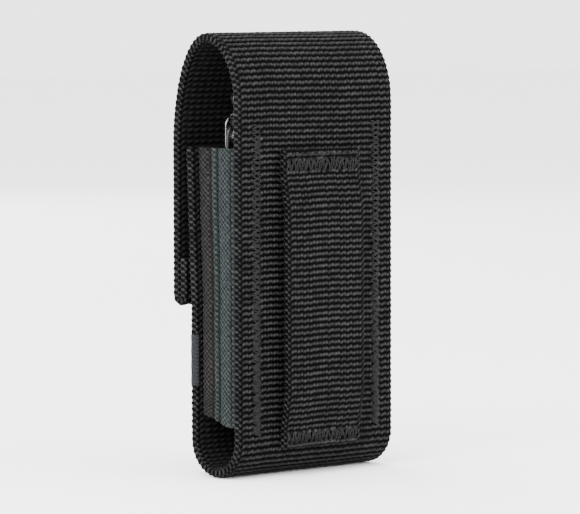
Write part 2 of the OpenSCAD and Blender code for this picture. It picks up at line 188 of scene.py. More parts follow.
class Route:
    """The middle line of a strip in the Y-Z plane, measured by its length."""

    def __init__(self, points):
        points = np.asarray(points, float)
        keep = np.r_[True, np.linalg.norm(np.diff(points, axis=0), axis=1) > 1e-6]
        points = points[keep]
        length = np.r_[0, np.cumsum(np.linalg.norm(np.diff(points, axis=0), axis=1))]
        self.length = length[-1]
        self.fine = np.arange(0, self.length, 0.1)
        y = np.interp(self.fine, length, points[:, 0])
        z = np.interp(self.fine, length, points[:, 1])
        # a moving average rounds the corners
        pad = 7
        kernel = np.ones(2 * pad + 1) / (2 * pad + 1)
        y = np.convolve(np.pad(y, pad, mode="reflect", reflect_type="odd"), kernel, "valid")
        z = np.convolve(np.pad(z, pad, mode="reflect", reflect_type="odd"), kernel, "valid")
        self.y, self.z = y, z

    def at(self, s):
        """Middle points and outward normals at lengths s."""
        y = np.interp(s, self.fine, self.y)
        z = np.interp(s, self.fine, self.z)
        dy = np.interp(s, self.fine, np.gradient(self.y))
        dz = np.interp(s, self.fine, np.gradient(self.z))
        size = np.hypot(dy, dz)
        return np.stack([y, z], -1), np.stack([dz / size, -dy / size], -1)

    def nearest(self, y, z):
        """Length at the point of the line nearest to (y, z)."""
        return self.fine[np.argmin((self.y - y) ** 2 + (self.z - z) ** 2)]

    def surface(self, s, x, lift):
        """Points at length s and across x, lift millimetres out from the middle line."""
        s, x, lift = np.broadcast_arrays(np.asarray(s, float), x, lift)
        centre, normal = self.at(s)
        return np.stack([x, centre[..., 0] + lift * normal[..., 0],
                         centre[..., 1] + lift * normal[..., 1]], -1)


def rounded_end(distance, reach):
    """Thickness share near a strip's cut end: 1 away from it, rounded down at it."""
    u = np.clip(distance / reach, 0, 1)
    return np.sqrt(np.clip(1 - (1 - u) ** 2, 0.02, 1))


def strip(name, route, s0, s1, half_w, thick, seed, rib_depth=0.5, round_start=0.0,
          round_end=0.0, roll=0.0, pinches=(), narrow=None, inner_cols=44):
    """Webbing with ribs across it and warp yarns along it, as one closed mesh, whose weave attribute
    paints shade into the low spots of the relief.

    pinches are (low s, high s, low x, high x) where stitching flattens the ribs.
    narrow is (low s, high s, amount): the +X edge is pressed in there.
    """
    random = np.random.RandomState(seed)
    first = math.ceil(s0 / RIB * RIB_STEPS)
    last = math.floor(s1 / RIB * RIB_STEPS)
    steps = np.arange(first, last + 1)
    s = steps * RIB / RIB_STEPS
    s[0], s[-1] = s0, s1
    if round_start:
        extra = s0 + round_start * np.array([0.06, 0.2, 0.45, 0.75])
        s = np.unique(np.r_[s, extra])
    if round_end:
        extra = s1 - round_end * np.array([0.06, 0.2, 0.45, 0.75])
        s = np.unique(np.r_[s, extra])
    cols = 2 * int(round((half_w - EDGE) * 2 / WARP)) + 1
    x = np.linspace(-half_w + EDGE, half_w - EDGE, cols)
    odd = np.arange(cols) % 2

    # outer face: rows of rounded ribs, cut into yarns, each row a little uneven
    jag = random.uniform(-0.06, 0.06, cols) + np.where(np.arange(cols) % 4 < 2, 0.05, -0.05)
    wander = 0.06 * np.sin(x / half_w * 3.1 + seed)
    phase = s[:, None] / RIB + jag[None, :] + wander[None, :]
    f = phase - np.floor(phase)
    row = np.floor(phase).astype(int)
    table = random.uniform(0, 1, (256, cols))
    yarn = table[row % 256, np.arange(cols)[None, :]]
    rib = np.clip(1.3 * np.sin(np.pi * f) ** 1.2 - 0.2, 0, 1)
    column = np.where(odd, 0.72, 1.0)[None, :] * (0.85 + 0.15 * yarn)
    height = rib * column
    # weave paints shade: colour follows rib height, darker in the gaps between ribs and on the lower
    # warp columns, with random yarn tone on top
    weave = rib * np.where(odd, 0.7, 1.0)[None, :] * (0.7 + 0.3 * yarn)
    pinch = np.zeros_like(height)
    for p0, p1, x0, x1 in pinches:
        along = smoothstep((s - p0) / 1.2) * smoothstep((p1 - s) / 1.2)
        across = smoothstep((x - x0 + 0.5) / 1.0) * smoothstep((x1 - x + 0.5) / 1.0)
        pinch = np.maximum(pinch, along[:, None] * across[None, :])
    height = height * (1 - 0.45 * pinch) + 0.3 * pinch * (yarn - 0.3)
    weave = weave * (1 - 0.4 * pinch) + 0.45 * pinch * yarn
    out = thick / 2 - rib_depth * (1 - height)

    # thickness share at cut or rolled ends
    share = np.ones_like(s)
    swell = np.ones_like(s)
    if round_start:
        share *= rounded_end(s - s0, round_start)
        swell += roll * np.exp(-((s - s0 - 1.6) / 1.5) ** 2)
    if round_end:
        share *= rounded_end(s1 - s, round_end)
    out = out * share[:, None] * swell[:, None]
    outer = route.surface(s[:, None], x[None, :], out)

    # inner face: rows of short floats
    xi = np.linspace(half_w - EDGE, -half_w + EDGE, inner_cols)
    brick = np.where(np.arange(inner_cols) % 2, 0.12, -0.12)
    rib_i = 0.5 - 0.5 * np.cos(2 * np.pi * (s[:, None] / RIB + brick[None, :]))
    rib_i = rib_i * np.where(np.arange(inner_cols) % 2, 0.45, 1.0)[None, :]
    inn = -(thick / 2 - rib_depth * 0.6 * (1 - rib_i)) * share[:, None] * swell[:, None]
    inner = route.surface(s[:, None], xi[None, :], inn)

    def selvedge(sign, angles):
        """One edge: three staggered columns of beads wrapped round it, and their weave values, with
        painted shade between the beads.
        """
        beads = np.zeros((len(s), len(angles)))
        for middle, shift in ((48, 0.0), (0, 0.5), (-48, 0.0)):
            slant = 0.18 * (np.degrees(angles) - middle) / 48
            near = np.clip(1 - np.abs(np.degrees(angles) - middle) / 40, 0, 1)
            turn = 0.5 + 0.5 * np.cos(2 * np.pi * (s[:, None] / RIB + shift + slant[None, :]))
            beads = np.maximum(beads, np.sqrt(near)[None, :] * turn)
        lumpy = random.uniform(0.75, 1.0, 256)[np.floor(s / RIB).astype(int) % 256]
        beads *= lumpy[:, None]
        wide = EDGE - 0.4 * (1 - beads)
        half = (thick / 2 - 0.28 * (1 - beads)) * share[:, None] * swell[:, None]
        cos_a = np.abs(np.cos(angles)) ** 0.35
        sin_a = np.sign(np.sin(angles)) * np.abs(np.sin(angles)) ** 0.5
        xe = sign * (half_w - EDGE + wide * cos_a[None, :])
        if narrow and sign > 0:
            held = smoothstep((s - narrow[0]) / 0.8) * smoothstep((narrow[1] - s) / 0.8)
            xe = xe - narrow[2] * held[:, None]
        return route.surface(s[:, None], xe, half * sin_a[None, :]), 0.06 + 0.94 * beads

    angles = np.radians(np.linspace(72, -72, 10))
    right, right_weave = selvedge(1, angles)
    left, left_weave = selvedge(-1, angles[::-1])
    points = np.concatenate([outer, right, inner, left], 1)
    # the inner floats also get painted shade where they sink, in a darker and narrower range than the
    # outer ribs
    values = np.concatenate([weave, right_weave, 0.32 + 0.42 * rib_i, left_weave], 1)
    rows, ring = points.shape[:2]
    obj = mesh_object(name, points.reshape(-1, 3), [tuple(reversed(q)) for q in ring_faces(rows, ring)])
    set_attribute(obj, "weave", values.reshape(-1))
    return obj


SHEATH_POINTS = np.concatenate([
    [[MOUTH_FRONT_C, MOUTH_Z], [LOW_FRONT_C, LEAN_Z]],
    arc(BEND_Y, BEND_R, BEND_R - HALF_T, BEND_R - HALF_T, 180, 360),
    arc(ARCH_Y, REAR_HINGE_Z, ARCH_A, TOP_Z - HALF_T - REAR_HINGE_Z, 0, 90),
    arc(ARCH_Y, FRONT_SPRING_Z, ARCH_A, TOP_Z - HALF_T - FRONT_SPRING_Z, 90, 180),
    arc(FLAP_C + HALF_T, FLAP_END_Z + WEB_T, HALF_T, HALF_T, 180, 360, 20),
    [[FLAP_C + WEB_T, FLAP_END_Z + HEM_L]],
])
MAIN = Route(SHEATH_POINTS)
S_BEND = MAIN.nearest(BEND_Y, 0)
S_TOP = MAIN.nearest(ARCH_Y, TOP_Z)
S_SPLIT = RIB * round((S_TOP - 5.5) / RIB)
S_FOLD = MAIN.nearest(FLAP_C + HALF_T, FLAP_END_Z)


def s_front(z):
    """Length along the strip at height z on the front panel."""
    return np.interp(-z, -MAIN.z[MAIN.fine < S_BEND], MAIN.fine[MAIN.fine < S_BEND])


def s_back(z):
    """Length along the strip at height z on the back panel."""
    use = (MAIN.fine > S_BEND) & (MAIN.fine < S_TOP)
    return np.interp(z, MAIN.z[use], MAIN.fine[use])


def s_flap(z):
    """Length along the strip at height z on the flap."""
    use = (MAIN.fine > S_TOP) & (MAIN.fine < S_FOLD)
    return np.interp(-z, -MAIN.z[use], MAIN.fine[use])


SEAM_Z0, SEAM_Z1 = SEAM_LOW[2], SEAM_HIGH[2]
seam_pinches = []
for sign in (-1, 1):
    x0, x1 = sorted((sign * (SEAM_X - SEAM_HALF), sign * (SEAM_X + SEAM_HALF)))
    seam_pinches.append((s_back(SEAM_Z0), s_back(SEAM_Z1), x0, x1))
    seam_pinches.append((s_front(MOUTH_Z - 4), s_front(SEAM_Z0), x0, x1))

sheath_strip = strip("sheath_webbing", MAIN, 0.0, S_SPLIT, HALF_W, WEB_T, 3, round_start=1.5, roll=0.22,
                     pinches=seam_pinches, narrow=(s_front(LABEL_HIGH[2]), s_front(LABEL_LOW[2]), 0.45))
hem_pinches = [(s_flap(HEM_STITCH_HIGH[2] + 0.6), s_flap(HEM_STITCH_LOW[2] - 0.6), -HALF_W, HALF_W)]
flap_strip = strip("flap_webbing_strip", MAIN, S_SPLIT, MAIN.length, HALF_W, WEB_T, 3, round_end=0.8,
                   pinches=hem_pinches)

LOOP_POINTS = [
    [BACK_Y + LOOP_T / 2, LOOP_LOW[2]],
    [BACK_Y + LOOP_T / 2, LOOP_LOW[2] + 5],
    [LOOP_HIGH[1] - LOOP_T / 2, LOOP_LOW[2] + 13],
    [LOOP_HIGH[1] - LOOP_T / 2, LOOP_HIGH[2] - 14],
    [BACK_Y + LOOP_T / 2, LOOP_HIGH[2] - 6.5],
    [BACK_Y + LOOP_T / 2, LOOP_HIGH[2]],
]
LOOP = Route(LOOP_POINTS)
LOOP_HALF = LOOP_HIGH[0]
top_s = LOOP.length
tack_bands = [
    (0.3, 5.2, -LOOP_HALF, LOOP_HALF),
    (top_s - 6.2, top_s - 0.3, -LOOP_HALF, LOOP_HALF),
]
loop_strip = strip("belt_loop_webbing", LOOP, 0.0, LOOP.length, LOOP_HALF, LOOP_T, 11, rib_depth=0.45,
                   round_start=0.7, round_end=0.7, pinches=tack_bands, inner_cols=20)

# ---- stitching ---------------------------------------------------------------


def stitch(route, s0, x0, s1, x1, surface_lift, bow=0.18, dive=0.35, n=6):
    """One thread stitch over the webbing from one needle hole to the next."""
    u = np.linspace(0, 1, n)
    lift = surface_lift + bow * np.sin(np.pi * u) - dive * (1 - np.sin(np.pi * u)) ** 3
    return route.surface(s0 + (s1 - s0) * u, x0 + (x1 - x0) * u, lift)


def zigzag_along(route, s0, s1, x_mid, swing, step, lift, random):
    """Zigzag stitches running along a strip."""
    n = max(2, int(round(abs(s1 - s0) / step)))
    s = np.linspace(s0, s1, n + 1) + random.uniform(-0.08, 0.08, n + 1)
    x = x_mid + swing * np.where(np.arange(n + 1) % 2, 1, -1) + random.uniform(-0.12, 0.12, n + 1)
    return [stitch(route, s[i], x[i], s[i + 1], x[i + 1], lift) for i in range(n)]


def zigzag_across(route, s_mid, swing, x0, x1, step, lift, random):
    """Zigzag stitches running across a strip."""
    n = max(2, int(round(abs(x1 - x0) / step)))
    x = np.linspace(x0, x1, n + 1) + random.uniform(-0.08, 0.08, n + 1)
    s = s_mid + swing * np.where(np.arange(n + 1) % 2, 1, -1) + random.uniform(-0.1, 0.1, n + 1)
    return [stitch(route, s[i], x[i], s[i + 1], x[i + 1], lift) for i in range(n)]


def row_across(route, s, x0, x1, pitch, lift):
    """Straight stitches in a row across a strip."""
    starts = np.arange(x0, x1 - pitch * 0.5, pitch)
    return [stitch(route, s, a, s, a + pitch * 0.86, lift) for a in starts]


def row_along(route, s0, s1, x, pitch, lift):
    """Straight stitches in a row along a strip."""
    starts = np.arange(min(s0, s1), max(s0, s1) - pitch * 0.5, pitch)
    return [stitch(route, a, x, a + pitch * 0.86, x, lift) for a in starts]


draw = np.random.RandomState(7)
SURFACE = HALF_T - 0.16
ZIG_STEP = 1.25
seams = {}
for side, sign in (("right", 1), ("left", -1)):
    lines = []
    for start, lift in ((0.0, 0.0), (0.42, 0.03), (0.84, 0.0), (1.2, 0.04)):
        lines += zigzag_along(MAIN, s_back(SEAM_Z0 + start), s_back(SEAM_Z1), sign * SEAM_X,
                              SEAM_HALF - 0.25, ZIG_STEP, SURFACE - 0.08 + lift, draw)
    seams[side] = tubes(f"seam_thread_{side}", lines, THREAD_R)
front_lines = []
for sign in (-1, 1):
    for z0, z1 in ((MOUTH_Z - 4.5, LABEL_HIGH[2] + 0.8), (LABEL_LOW[2] - 0.8, SEAM_Z0)):
        front_lines += zigzag_along(MAIN, s_front(z0), s_front(z1), sign * SEAM_X, SEAM_HALF - 0.2,
                                    ZIG_STEP, SURFACE, draw)
front_seams = tubes("front_seam_thread", front_lines, THREAD_R)
mouth_lines = []
for z in (MOUTH_Z - 2.6, MOUTH_Z - 4.8):
    mouth_lines += row_across(MAIN, s_front(z), -HALF_W + 2, HALF_W - 2, 2.3, SURFACE)
mouth_thread = tubes("mouth_thread", mouth_lines, THREAD_R)

LOOP_SURFACE = LOOP_T / 2 - 0.14


def tack(s_mid, swing, trim_left, trim_right, step):
    """One pass of zigzag across the belt loop, short of its edges by the trims."""
    return zigzag_across(LOOP, s_mid, swing, -LOOP_HALF + trim_left, LOOP_HALF - trim_right, step,
                         LOOP_SURFACE, draw)


tack_lines = tack(2.4, 1.6, 0.8, 0.8, 0.8)
tack_lines += tack(2.5, 1.6, 1.2, 1.0, 1.1)
tack_lines += row_across(LOOP, top_s - 1.3, -LOOP_HALF + 0.8, LOOP_HALF - 0.8, 1.9, LOOP_SURFACE)
tack_lines += tack(top_s - 3.7, 1.7, 0.8, 0.8, 0.8)
tack_lines += tack(top_s - 3.8, 1.6, 1.1, 1.0, 1.1)
# one loose thread end
u = np.linspace(0, 1, 14)
tack_lines.append(LOOP.surface(0.5 + 0.5 * np.sin(u * 2.6), LOOP_HALF - 1 - 12 * u,
                               LOOP_SURFACE + 0.25 + 0.35 * np.sin(np.pi * u)))
bartacks = tubes("bartack_thread", tack_lines, THREAD_R)

hem_lines = []
for z in (HEM_STITCH_HIGH[2] - 0.3, HEM_STITCH_LOW[2] + 0.3):
    hem_lines += row_across(MAIN, s_flap(z), -HALF_W + 1.5, HALF_W - 1.5, 2.5, SURFACE)
hem_thread = tubes("flap_hem_thread", hem_lines, THREAD_R)
box_lines = []
for z in (HOOK_STITCH_HIGH[2], HOOK_STITCH_LOW[2]):
    box_lines += row_across(MAIN, s_flap(z), HOOK_STITCH_LOW[0], HOOK_STITCH_HIGH[0], 2.5, SURFACE)
for x in (HOOK_STITCH_LOW[0], HOOK_STITCH_HIGH[0]):
    box_lines += row_along(MAIN, s_flap(HOOK_STITCH_HIGH[2]), s_flap(HOOK_STITCH_LOW[2]), x, 2.5,
                           SURFACE)
box_thread = tubes("hook_patch_thread", box_lines, THREAD_R)

# ---- elastic gussets -----------------------------------------------------------


def front_inside(z):
    """Y of the front panel's inner face at height z."""
    return np.interp(z, [LEAN_Z, MOUTH_Z], [LOW_FRONT_C + HALF_T, MOUTH_FRONT_C + HALF_T])


def gusset(name, sign, seed):
    """Elastic band folded into a pleat: seam allowance, strip, crease, wide face, allowance."""
    random = np.random.RandomState(seed)
    thick = GUSSET_HIGH[0] - GUSSET_LOW[0]
    x_out = GUSSET_HIGH[0]
    wall = 1.1
    course = 0.62
    z = np.arange(GUSSET_LOW[2], GUSSET_HIGH[2] + course / 4, course / 2)
    back = BACK_Y - WEB_T
    # plan of the outer face: (share of depth, how far in from x_out)
    plan = np.array([
        [0.015, thick - 0.2], [0.012, 4.0], [0.012, 1.8], [0.03, 0.9], [0.05, 0.45], [0.09, 0.25],
        [0.16, 0.12], [0.24, 0.1], [0.30, 0.22], [0.335, 0.5], [0.35, 0.75], [0.365, 0.4],
        [0.40, 0.12], [0.44, 0.1], [0.47, 0.35], [0.49, 0.85], [0.505, 1.1], [0.52, 0.8], [0.545, 0.3],
        [0.58, 0.08], [0.65, 0.0], [0.72, 0.0], [0.79, 0.06], [0.83, 0.22], [0.85, 0.4], [0.87, 0.28],
        [0.90, 0.35], [0.93, 0.8], [0.955, 1.5], [0.975, 2.6], [0.985, 4.0], [0.985, thick - 0.2],
    ])
    dense = []
    for a, b in zip(plan[:-1], plan[1:]):
        pieces = max(1, int(np.hypot((b[0] - a[0]) * 14, b[1] - a[1]) / 0.32))
        dense += [a + (b - a) * k / pieces for k in range(pieces)]
    dense.append(plan[-1])
    dense = np.array(dense)
    front = front_inside(z)
    depth = back - front
    y = front[:, None] + depth[:, None] * dense[None, :, 0]
    x = np.broadcast_to(x_out - dense[None, :, 1], y.shape).copy()
    # outward normals in plan
    ty = np.gradient(y, axis=1)
    tx = np.gradient(x, axis=1)
    size = np.hypot(tx, ty) + 1e-9
    nx, ny = ty / size, -tx / size
    cols = y.shape[1]
    yarn = random.uniform(0, 1, y.shape)
    checker = (np.arange(len(z))[:, None] // 2 + np.arange(cols)[None, :] // 2) % 2
    bump = 0.15 + 0.45 * checker + 0.4 * yarn
    relief = 0.22 * (bump - 1)
    sag = 0.18 * np.sin(z / 9.0 + seed)[:, None] * np.sin(np.pi * dense[None, :, 0])
    # lower edge: the front corner ends higher than the middle
    end = 2.6 * smoothstep((0.9 - dense[:, 0]) / 0.9)
    low = smoothstep((GUSSET_LOW[2] + 9 - z) / 9)
    zz = z[:, None] + low[:, None] * end[None, :]
    outer = np.stack([(x + nx * relief - np.abs(sag)), y + ny * relief, zz], -1)
    inner = np.stack([(x - nx * wall * 0.8 - np.abs(sag)), y - ny * wall * 0.8, zz], -1)
    inner[..., 1] = np.clip(inner[..., 1], front[:, None] + 0.05, back - 0.05)
    points = np.concatenate([outer, inner[:, ::-1]], 1)
    points[..., 0] *= sign
    strip_share = smoothstep((0.36 - dense[:, 0]) / 0.02)
    tone = np.concatenate([np.broadcast_to(strip_share, y.shape), np.ones_like(y)], 1)
    # painted shade: the colour is darkened along the pleat's three creases, where shade falls
    crease_shade = np.zeros(cols)
    for share, depth_share in ((0.35, 0.5), (0.505, 0.75), (0.85, 0.4)):
        crease_shade = np.maximum(crease_shade, depth_share * np.exp(-((dense[:, 0] - share) / 0.018) ** 2))
    # the knit dots' colour follows their relief, lighter on raised dots with painted shade between them,
    # plus random yarn tone
    weave = np.concatenate([bump * (1 - crease_shade[None, :]), 0.4 + 0 * bump], 1)
    rows, ring = points.shape[:2]
    faces = ring_faces(rows, ring)
    if sign > 0:
        faces = [tuple(reversed(q)) for q in faces]
    obj = mesh_object(name, points.reshape(-1, 3), faces)
    set_attribute(obj, "weave", weave.reshape(-1))
    set_attribute(obj, "strip", tone.reshape(-1))

    lines = []
    for share in (0.505, 0.85):
        col = np.argmin(np.abs(dense[:, 0] - share))
        for low in np.arange(GUSSET_LOW[2] + 2.5, GUSSET_HIGH[2] - 2, 1.8):
            zs = low + np.linspace(0, 1.25, 5)
            px = np.interp(zs, z, points[:, col, 0]) + sign * np.array([-0.2, 0.12, 0.17, 0.12, -0.2])
            py = np.interp(zs, z, points[:, col, 1])
            lines.append(np.stack([px, py, zs], -1))
    return obj, tubes(name + "_thread", lines, 0.17)


gusset_right, gusset_thread_right = gusset("elastic_gusset_right", 1, 21)
gusset_left, gusset_thread_left = gusset("elastic_gusset_left", -1, 22)

# ---- label, hook tape and loop tape ----------------------------------------------


def label():
    """Blank woven label folded round the front panel's edge."""
    z = np.linspace(LABEL_LOW[2] + 0.1, LABEL_HIGH[2] - 0.1, 41)
    face = LOW_FRONT_C - HALF_T
    x_edge = HALF_W
    route = [[LABEL_LOW[0], face - 0.12]]
    route += [[x, face - 0.2] for x in np.linspace(LABEL_LOW[0] + 0.4, x_edge - 1.3, 44)]
    route += [[x_edge - 1.1 + 1.05 * math.cos(a), face + 0.85 - 1.05 * math.sin(a)]
              for a in np.radians(np.linspace(85, 5, 8))]
    route += [[x_edge - 0.06, y] for y in np.linspace(face + 1.0, face + WEB_T - 1.0, 5)]
    route += [[x_edge - 1.1 + 1.0 * math.cos(a), face + WEB_T - 0.95 + 1.0 * math.sin(a)]
              for a in np.radians(np.linspace(10, 80, 6))]
    route = np.array(route)
    tangent = np.gradient(route, axis=0)
    tangent /= np.linalg.norm(tangent, axis=1)[:, None]
    normal = np.stack([tangent[:, 1], -tangent[:, 0]], 1)
    wave = 0.03 * np.sin(np.arange(len(route))[None, :] * 0.9 + z[:, None] * 1.7)
    x = route[None, :, 0] + normal[None, :, 0] * wave
    y = route[None, :, 1] + normal[None, :, 1] * wave
    zz = np.broadcast_to(z[:, None], x.shape)
    outer = np.stack([x, y, zz], -1)
    inner = np.stack([x - normal[None, :, 0] * 0.18, y - normal[None, :, 1] * 0.18, zz], -1)
    points = np.concatenate([outer, inner[:, ::-1]], 1)
    rows, ring = points.shape[:2]
    faces = [tuple(reversed(q)) for q in ring_faces(rows, ring)]
    return mesh_object("woven_label", points.reshape(-1, 3), faces)


label_piece = label()


def tape_base(low_x, high_x, y_of_z, z0, z1, thick, step=0.5):
    """Slab of hook or loop tape as points of a closed ring per height; thick points to -Y or +Y."""
    x = np.arange(low_x, high_x + step / 2, step)
    z = np.arange(z0, z1 + step / 2, step)
    edge = np.minimum(np.minimum(x - x[0], x[-1] - x)[None, :] / 0.6,
                      np.minimum(z - z[0], z[-1] - z)[:, None] / 0.6)
    rise = np.sqrt(np.clip(edge, 0.03, 1))
    y0 = np.broadcast_to(y_of_z(z)[:, None], rise.shape)
    xx = np.broadcast_to(x[None, :], rise.shape)
    zz = np.broadcast_to(z[:, None], rise.shape)
    top = np.stack([xx, y0 + thick * rise, zz], -1)
    bottom = np.stack([xx, y0, zz], -1)[:, ::-1]
    return np.concatenate([top, bottom], 1)


def tape(name, low_x, high_x, y_of_z, z0, z1, thick, lines, radius):
    """Tape with its hooks or loops as fine threads on it."""
    points = tape_base(low_x, high_x, y_of_z, z0, z1, thick)
    rows, ring = points.shape[:2]
    faces = ring_faces(rows, ring)
    if thick > 0:
        faces = [tuple(reversed(q)) for q in faces]
    base = mesh_object(name, points.reshape(-1, 3), faces)
    fuzz = tubes(name + "_pile", lines, radius, sides=4)
    with bpy.context.temp_override(active_object=base, selected_editable_objects=[base, fuzz]):
        bpy.ops.object.join()
    return base


def panel_face(z):
    """Y of the front panel's outer face at height z."""
    return np.interp(z, [LEAN_Z, MOUTH_Z], [LOW_FRONT_C - HALF_T, MOUTH_FRONT_C - HALF_T])


def loops(random, n):
    """Small irregular loops standing on the loop tape."""
    lines = []
    for _ in range(n):
        x = random.uniform(PILE_LOW[0] + 0.5, PILE_HIGH[0] - 0.5)
        z = random.uniform(PILE_LOW[2] + 0.5, PILE_HIGH[2] - 0.5)
        a = random.uniform(0, 2 * math.pi)
        wide = random.uniform(0.25, 0.6)
        high = random.uniform(0.25, 0.42)
        y = float(panel_face(z)) - 0.5
        u = np.linspace(0, 1, 5)
        lines.append(np.stack([x + wide * (u - 0.5) * math.cos(a), y - high * np.sin(np.pi * u),
                               z + wide * (u - 0.5) * math.sin(a)], -1))
    return lines


def hooks():
    """Rows of small hooks on the hook tape, bent alternately up and down."""
    lines = []
    root = HOOK_HIGH[1] - 0.75
    for i, z in enumerate(np.arange(HOOK_LOW[2] + 1, HOOK_HIGH[2] - 0.8, 1.25)):
        for j, x in enumerate(np.arange(HOOK_LOW[0] + 1, HOOK_HIGH[0] - 0.8, 1.15)):
            way = 1 if (i + j) % 2 else -1
            lines.append([[x, root - 0.05, z], [x, root + 0.45, z], [x, root + 0.66, z + 0.2 * way],
                          [x, root + 0.5, z + 0.38 * way]])
    return lines


loop_tape = tape("loop_tape", PILE_LOW[0], PILE_HIGH[0], panel_face, PILE_LOW[2], PILE_HIGH[2], -0.5,
                 loops(np.random.RandomState(31), 2600), 0.05)
hook_tape = tape("hook_tape", HOOK_LOW[0], HOOK_HIGH[0], lambda z: np.full_like(z, HOOK_LOW[1]),
                 HOOK_LOW[2], HOOK_HIGH[2], 0.5, hooks(), 0.09)

# ---- materials ----------------------------------------------------------------------


def new_material(name):
    """A material with a Principled shader; returns (material, nodes, links, shader)."""
    material = bpy.data.materials.new(name)
    material.use_nodes = True
    nodes = material.node_tree.nodes
    return material, nodes, material.node_tree.links, nodes["Principled BSDF"]


def ramp(nodes, links, source, stops):
    """A colour ramp fed by source; stops are (position, grey or colour)."""
    node = nodes.new("ShaderNodeValToRGB")
    elements = node.color_ramp.elements
    while len(elements) < len(stops):
        elements.new(0.5)
    for element, (position, colour) in zip(elements, stops):
        if not isinstance(colour, tuple):
            colour = (colour, colour, colour)
        element.position = position
        element.color = (*colour, 1)
    links.new(source, node.inputs[0])
    return node.outputs[0]


def object_noise(nodes, links, scale, detail=3.0, stretch=(1, 1, 1)):
    """Noise in object space, so that it stays on the piece; scale is per metre."""
    place = nodes.new("ShaderNodeTexCoord")
    mapping = nodes.new("ShaderNodeMapping")
    mapping.inputs["Scale"].default_value = stretch
    noise = nodes.new("ShaderNodeTexNoise")
    noise.inputs["Scale"].default_value = scale
    noise.inputs["Detail"].default_value = detail
    links.new(place.outputs["Object"], mapping.inputs[0])
    links.new(mapping.outputs[0], noise.inputs["Vector"])
    return noise.outputs["Fac"]


def attribute(nodes, name):
    """A vertex attribute as a number."""
    node = nodes.new("ShaderNodeAttribute")
    node.attribute_name = name
    return node.outputs["Fac"]


def math_node(nodes, links, operation, a, b):
    """A Math node on two numbers or sockets."""
    node = nodes.new("ShaderNodeMath")
    node.operation = operation
    for value, socket in zip((a, b), node.inputs):
        if isinstance(value, (int, float)):
            socket.default_value = value
        else:
            links.new(value, socket)
    return node.outputs[0]


def bump(nodes, links, shader, height, strength, distance):
    """Fine relief on the shader's normal; distance in metres."""
    node = nodes.new("ShaderNodeBump")
    node.inputs["Strength"].default_value = strength
    node.inputs["Distance"].default_value = distance
    links.new(height, node.inputs["Height"])
    links.new(node.outputs[0], shader.inputs["Normal"])


def woven(name, stops, fibre=2600.0, sheen=0.003, roughness=(0.5, 0.72), tint=None):
    """Woven textile coloured by its weave attribute, which follows the relief so that low spots get
    painted shade, with fine fibres as bump.
    """
    material, nodes, links, shader = new_material(name)
    weave = attribute(nodes, "weave")
    fibres = object_noise(nodes, links, fibre, 4.0, (1, 1, 0.35))
    blotch = object_noise(nodes, links, 90.0, 2.0)
    mixed = math_node(nodes, links, "MULTIPLY_ADD", fibres, 0.35)
    mixed.node.inputs[2].default_value = -0.17
    value = math_node(nodes, links, "ADD", weave, mixed)
    drift = math_node(nodes, links, "MULTIPLY_ADD", blotch, 0.12)
    drift.node.inputs[2].default_value = -0.06
    value = math_node(nodes, links, "ADD", value, drift)
    colour = ramp(nodes, links, value, stops)
    if tint:
        other = ramp(nodes, links, value, tint)
        mix = nodes.new("ShaderNodeMix")
        mix.data_type = "RGBA"
        links.new(attribute(nodes, "strip"), mix.inputs["Factor"])
        links.new(colour, mix.inputs["A"])
        links.new(other, mix.inputs["B"])
        colour = mix.outputs["Result"]
    links.new(colour, shader.inputs["Base Color"])
    rough = ramp(nodes, links, fibres, [(0.3, roughness[0]), (0.7, roughness[1])])
    links.new(rough, shader.inputs["Roughness"])
    shader.inputs["Sheen Weight"].default_value = sheen
    shader.inputs["Sheen Roughness"].default_value = 0.45
    shader.inputs["Specular IOR Level"].default_value = 0.015
    bump(nodes, links, shader, fibres, 0.6, 0.00012)
    return material


def thread_material(name, grey):
    """Twisted nylon thread."""
    material, nodes, links, shader = new_material(name)
    place = nodes.new("ShaderNodeTexCoord")
    wave = nodes.new("ShaderNodeTexWave")
    wave.bands_direction = "DIAGONAL"
    wave.inputs["Scale"].default_value = 900.0
    wave.inputs["Distortion"].default_value = 1.5
    links.new(place.outputs["Object"], wave.inputs["Vector"])
    colour = ramp(nodes, links, wave.outputs["Fac"], [(0.1, grey * 0.45), (0.8, grey)])
    links.new(colour, shader.inputs["Base Color"])
    rough = ramp(nodes, links, wave.outputs["Fac"], [(0.0, 0.6), (1.0, 0.38)])
    links.new(rough, shader.inputs["Roughness"])
    shader.inputs["Specular IOR Level"].default_value = 0.08
    bump(nodes, links, shader, wave.outputs["Fac"], 0.5, 0.00008)
    return material


def pile_material(name, dark, light):
    """Hook or loop tape: near black nylon with a coarse ground weave."""
    material, nodes, links, shader = new_material(name)
    ground = object_noise(nodes, links, 1400.0, 3.0)
    links.new(ramp(nodes, links, ground, [(0.3, dark), (0.72, light)]), shader.inputs["Base Color"])
    links.new(ramp(nodes, links, ground, [(0.2, 0.75), (0.8, 0.5)]), shader.inputs["Roughness"])
    shader.inputs["Sheen Weight"].default_value = 0.05
    shader.inputs["Specular IOR Level"].default_value = 0.06
    bump(nodes, links, shader, ground, 0.7, 0.0003)
    return material


def label_material(name):
    """Smooth damask label with a fine twill line."""
    material, nodes, links, shader = new_material(name)
    place = nodes.new("ShaderNodeTexCoord")
    wave = nodes.new("ShaderNodeTexWave")
    wave.bands_direction = "DIAGONAL"
    wave.inputs["Scale"].default_value = 700.0
    wave.inputs["Distortion"].default_value = 0.6
    links.new(place.outputs["Object"], wave.inputs["Vector"])
    colours = [(0.0, (0.004, 0.0045, 0.0054)), (1.0, (0.0104, 0.0111, 0.0132))]
    links.new(ramp(nodes, links, wave.outputs["Fac"], colours), shader.inputs["Base Color"])
    rough = ramp(nodes, links, wave.outputs["Fac"], [(0.0, 0.55), (1.0, 0.36)])
    links.new(rough, shader.inputs["Roughness"])
    shader.inputs["Specular IOR Level"].default_value = 0.08
    bump(nodes, links, shader, wave.outputs["Fac"], 0.35, 0.00006)
    return material


